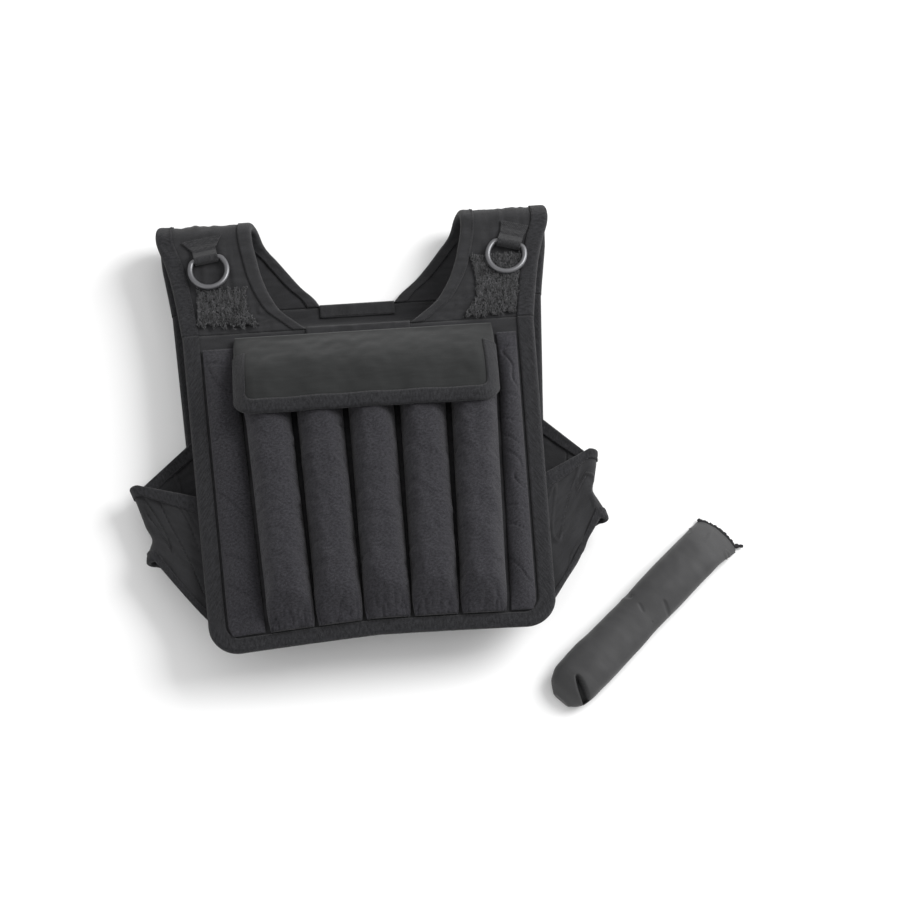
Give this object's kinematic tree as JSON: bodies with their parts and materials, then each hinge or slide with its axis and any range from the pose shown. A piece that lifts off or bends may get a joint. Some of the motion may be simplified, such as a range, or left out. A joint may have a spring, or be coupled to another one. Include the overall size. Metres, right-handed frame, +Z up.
{
  "type": "weighted training vest",
  "caption": "Black nylon training vest lying on its back: padded panels, filled weight pockets under a flap, shoulder straps with swinging D-rings, folded side panels, one bar taken out.",
  "frame": {"origin": "on the flat underside of the back panel, on the line down the middle of the vest", "axes": "+Z up from the surface that the vest lies on, +Y towards its shoulders, +X to the viewer's right across its front"},
  "size_m": [0.6012, 0.5456, 0.103],
  "materials": {
    "nylon_cloth": "black woven nylon, matt",
    "grosgrain_tape": "black ribbed tape with a fuzzy edge",
    "pocket_canvas": "charcoal canvas weave",
    "flap_canvas": "charcoal canvas, slightly faded",
    "loop_pile": "curly loop pile",
    "bar_nylon": "smooth dark grey nylon",
    "ring_metal": "dull grey nickel plate"
  },
  "bodies": {
    "vest": {"back_panel": "nylon_cloth", "front_panel": "nylon_cloth", "shoulder_strap_left": "nylon_cloth", "shoulder_strap_right": "nylon_cloth", "side_panel_left": "nylon_cloth", "side_panel_right": "nylon_cloth", "neck_binding_left": "nylon_cloth", "neck_binding_right": "nylon_cloth", "back_binding": "grosgrain_tape", "back_neck_binding": "grosgrain_tape", "front_binding": "grosgrain_tape", "front_neck_binding": "grosgrain_tape", "flap_binding": "grosgrain_tape", "arm_binding_left": "grosgrain_tape", "arm_binding_right": "grosgrain_tape", "side_top_binding_left": "grosgrain_tape", "side_lower_binding_left": "grosgrain_tape", "side_top_binding_right": "grosgrain_tape", "side_lower_binding_right": "grosgrain_tape", "ring_webbing_left": "grosgrain_tape", "ring_webbing_right": "grosgrain_tape", "pocket_1": "pocket_canvas", "pocket_2": "pocket_canvas", "pocket_3": "pocket_canvas", "pocket_4": "pocket_canvas", "pocket_5": "pocket_canvas", "channel_left": "pocket_canvas", "channel_right": "pocket_canvas", "pocket_flap": "flap_canvas", "loop_patch_left": "loop_pile", "loop_patch_right": "loop_pile", "weight_bar": "bar_nylon"},
    "left_ring": {"d_ring_left": "ring_metal"},
    "right_ring": {"d_ring_right": "ring_metal"}
  },
  "joints": [
    {"name": "left_ring_hinge", "type": "hinge", "parent": "vest", "child": "left_ring", "pos_m": [-0.15197, 0.196, 0.0621], "axis": [-0.9848, -0.1736, 0], "range_deg": [0, 170]},
    {"name": "right_ring_hinge", "type": "hinge", "parent": "vest", "child": "right_ring", "pos_m": [0.16084, 0.193, 0.0621], "axis": [-0.9563, 0.2924, 0], "range_deg": [0, 170]}
  ]
}
